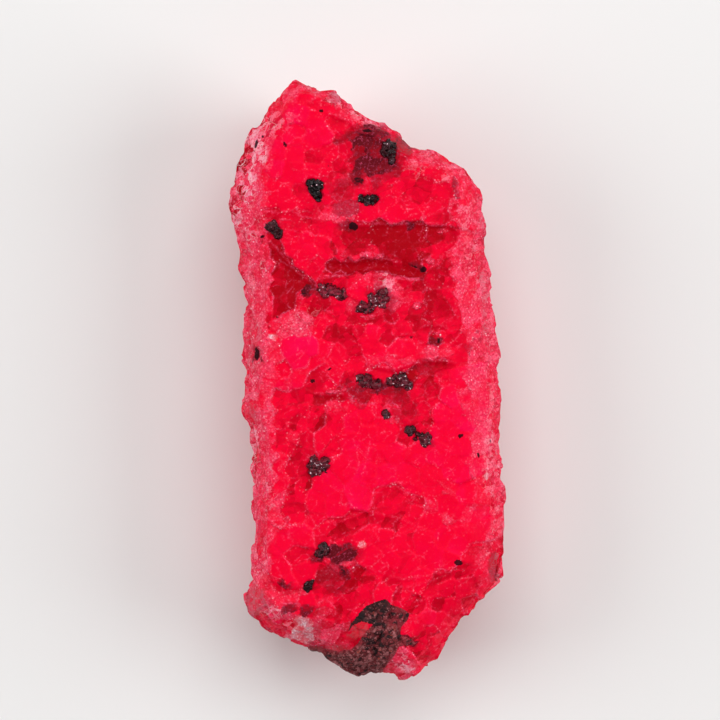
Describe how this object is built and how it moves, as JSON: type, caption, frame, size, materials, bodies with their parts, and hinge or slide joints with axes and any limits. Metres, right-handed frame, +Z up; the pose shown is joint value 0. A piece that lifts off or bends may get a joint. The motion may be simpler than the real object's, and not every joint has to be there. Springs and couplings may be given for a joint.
{
  "type": "raw ruby crystal",
  "caption": "Raw red six-sided mineral crystal lying on its flat back, with frosted side bands, a chipped front, dark mineral grains and a granular matrix remnant at the foot.",
  "frame": {"origin": "centre of the bounding box's base, on the flat back that the crystal rests on", "axes": "+Y along the crystal's length toward its slanting tip, +Z up out of the broad front face, +X to the right of the front face"},
  "size_m": [0.0231, 0.0498, 0.0157],
  "materials": {
    "ruby": "satin",
    "dark_matrix": "matte",
    "black_mineral": "satin"
  },
  "bodies": {
    "root": {"ruby_crystal": "ruby", "dark_matrix": "dark_matrix", "grain_apex_left": "black_mineral", "grain_upper_middle": "black_mineral", "grain_upper_left": "black_mineral", "grain_upper_right": "black_mineral", "grain_chain": "black_mineral", "grain_tilted": "black_mineral", "grain_long_left": "black_mineral", "grain_long_right": "black_mineral", "grain_round": "black_mineral", "grain_row_first": "black_mineral", "grain_row_second": "black_mineral", "grain_low_left": "black_mineral", "grain_wedge": "black_mineral", "grain_kite": "black_mineral"}
  },
  "joints": []
}
